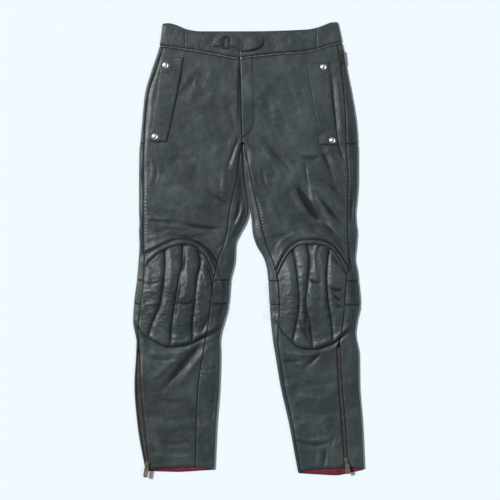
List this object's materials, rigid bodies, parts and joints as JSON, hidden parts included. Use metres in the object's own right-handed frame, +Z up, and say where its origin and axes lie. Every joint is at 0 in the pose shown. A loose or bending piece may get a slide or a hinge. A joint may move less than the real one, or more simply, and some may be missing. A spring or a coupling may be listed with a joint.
{
  "type": "motorcycle trousers",
  "caption": "Dark leather riding trousers laid flat, with domed gored knees, slanted snap pocket flaps, a waist strap with slide buckle and zipped ankles.",
  "frame": {"origin": "middle of the bounding box's plan, on the floor that the back panels lie on", "axes": "+Y towards the waist, +X towards the wearer's left leg, +Z up out of the front panels"},
  "size_m": [0.5426, 1.0706, 0.0252],
  "materials": {
    "leather_slate": "matt",
    "lining_crimson": "smooth satin weave",
    "elastic_black": "ribbed",
    "zip_tape_black": "woven tape",
    "zip_teeth_silver": "bright",
    "snap_silver": "polished",
    "slider_brass": "antique",
    "buckle_black": "satin black"
  },
  "bodies": {
    "trousers": {"ankle_slider_l": "slider_brass", "ankle_slider_r": "slider_brass", "ankle_zip_l": "zip_tape_black", "ankle_zip_r": "zip_tape_black", "back_calf_l": "leather_slate", "back_calf_r": "leather_slate", "back_knee_l": "leather_slate", "back_knee_r": "leather_slate", "back_seat_l": "leather_slate", "back_seat_r": "leather_slate", "back_thigh_l": "leather_slate", "back_thigh_r": "leather_slate", "buckle_loop": "leather_slate", "front_thigh_l": "leather_slate", "front_thigh_r": "leather_slate", "hem_lining_l": "lining_crimson", "hem_lining_r": "lining_crimson", "knee_gore_l1": "leather_slate", "knee_gore_l2": "leather_slate", "knee_gore_l3": "leather_slate", "knee_gore_l4": "leather_slate", "knee_gore_r1": "leather_slate", "knee_gore_r2": "leather_slate", "knee_gore_r3": "leather_slate", "knee_gore_r4": "leather_slate", "knee_rim_l": "leather_slate", "knee_rim_r": "leather_slate", "pocket_flap_l": "leather_slate", "pocket_flap_r": "leather_slate", "shin_front_l": "leather_slate", "shin_front_r": "leather_slate", "side_elastic": "elastic_black", "snap_l1": "snap_silver", "snap_l2": "snap_silver", "snap_r1": "snap_silver", "snap_r2": "snap_silver", "strap_buckle": "buckle_black", "waist_strap": "leather_slate", "waist_zip_l": "zip_teeth_silver", "waist_zip_r": "zip_teeth_silver", "waistband_back_l": "leather_slate", "waistband_back_r": "leather_slate", "waistband_front_l": "leather_slate", "waistband_front_r": "leather_slate", "zip_stop": "snap_silver"},
    "right_pull": {"ankle_pull_r": "slider_brass"},
    "left_pull": {"ankle_pull_l": "slider_brass"}
  },
  "joints": [
    {"name": "right_pull_hinge", "type": "hinge", "parent": "trousers", "child": "right_pull", "pos_m": [-0.23802, -0.50416, 0.01288], "axis": [-0.9902, 0.1396, 0], "range_deg": [0, 150]},
    {"name": "left_pull_hinge", "type": "hinge", "parent": "trousers", "child": "left_pull", "pos_m": [0.22884, -0.49576, 0.0132], "axis": [-0.9838, -0.179, 0], "range_deg": [0, 150]}
  ]
}
